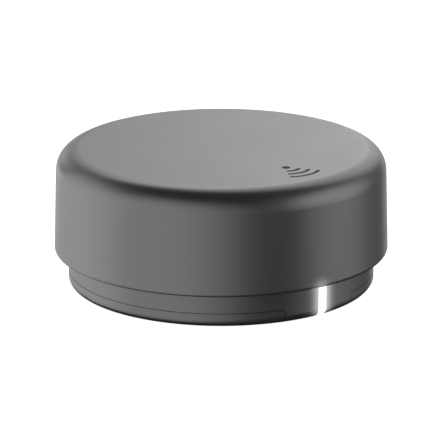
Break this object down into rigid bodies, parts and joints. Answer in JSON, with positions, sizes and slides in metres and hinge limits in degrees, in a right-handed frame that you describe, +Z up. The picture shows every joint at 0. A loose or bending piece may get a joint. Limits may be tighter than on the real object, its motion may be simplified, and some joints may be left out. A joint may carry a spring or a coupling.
{
  "type": "wireless push-button puck",
  "caption": "Round wireless push-button puck for a meeting table: overhanging press cap on a slimmer battery base with a lit slot.",
  "frame": {"origin": "on the resting surface, under the centre of the round puck (the foot ring's lower face is z = 0)", "axes": "+Z up through the middle of the cap, along the press; -Y towards the lit slot; the two cells lie along X"},
  "size_m": [0.06, 0.06, 0.0254],
  "materials": {
    "cap_plastic": "fine-grained satin",
    "base_plastic": "fine-grained satin",
    "frame_plastic": "moulded",
    "screw_steel": "zinc plated",
    "spring_steel": "drawn wire",
    "contact_steel": "nickel plated",
    "tin_plate": "tin plated",
    "silicone": "matte silicone",
    "foot_rubber": "matte rubber",
    "foam": "closed-cell foam",
    "light_pipe": "frosted, lit from inside",
    "lamp": "resin lens",
    "circuit_board": "solder mask",
    "switch_plastic": "moulded",
    "plunger_plastic": "moulded",
    "chip_resin": "moulded resin",
    "ceramic": "fired ceramic",
    "cell_jacket": "printed film jacket",
    "label_film": "printed film"
  },
  "bodies": {
    "cover": {"battery_cover": "base_plastic", "foot_ring": "foot_rubber", "cell_cushions": "foam", "underside_label": "label_film"},
    "base": {"base_housing": "base_plastic", "bumper_ring": "silicone", "light_pipe": "light_pipe", "light_gasket": "silicone", "status_lamp": "lamp", "main_board": "circuit_board", "board_screws": "screw_steel", "switch_body": "switch_plastic", "radio_chip": "chip_resin", "shield_can": "tin_plate", "chip_antenna": "ceramic", "power_inductor": "chip_resin", "board_chips": "ceramic", "battery_cell_rear": "cell_jacket", "battery_cell_front": "cell_jacket", "positive_terminal": "contact_steel", "negative_terminal": "contact_steel", "bridge_contact": "contact_steel", "contact_springs": "contact_steel", "return_springs": "spring_steel"},
    "cap": {"press_cap": "cap_plastic", "cap_frame": "frame_plastic", "cap_frame_screws": "screw_steel", "post_screws": "screw_steel", "post_washers": "screw_steel", "pusher_pad": "silicone"},
    "plunger": {"switch_plunger": "plunger_plastic"}
  },
  "joints": [
    {"name": "cover_release", "type": "slide", "parent": "cover", "child": "base", "axis": [0, 0, 1], "range_m": [0, 0.015]},
    {"name": "cap_press", "type": "slide", "parent": "base", "child": "cap", "axis": [0, 0, -1], "range_m": [0, 0.001], "stiffness_N_per_m": 800, "springref_m": -0.0015, "deforming": ["return_springs"]},
    {"name": "switch_press", "type": "slide", "parent": "base", "child": "plunger", "axis": [0, 0, -1], "range_m": [0, 0.001]}
  ],
  "couplings": [
    {"joint": "switch_press", "follows": "cap_press", "ratio": 1}
  ]
}
